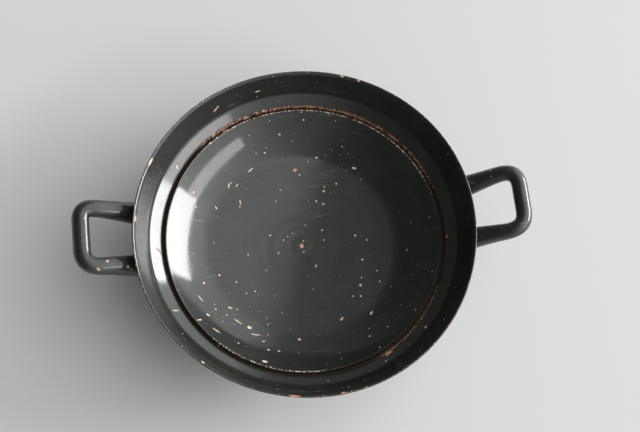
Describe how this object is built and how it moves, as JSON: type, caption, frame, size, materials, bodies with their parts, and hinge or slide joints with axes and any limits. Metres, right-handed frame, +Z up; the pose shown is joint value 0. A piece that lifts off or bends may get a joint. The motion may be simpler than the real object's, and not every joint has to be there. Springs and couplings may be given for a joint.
{
  "type": "stemless kylix cup",
  "caption": "Wide shallow ancient drinking cup of black-gloss fired clay with an offset lip, a ring foot and squared loop handles.",
  "frame": {"origin": "on the table under the middle of the cup: the foot's resting ring is at z = 0", "axes": "+Z up along the cup's axis, +X from one handle to the other, +Y across the cup, towards the arms of the handles that stand further from the middle line"},
  "size_m": [0.2498, 0.1845, 0.0609],
  "materials": {
    "black_gloss_clay": "glossy black slip over orange fired clay, worn and chipped to the clay on the arrises, with fine turning rings and scratches"
  },
  "bodies": {
    "root": {"kylix_cup": "black_gloss_clay"}
  },
  "joints": []
}
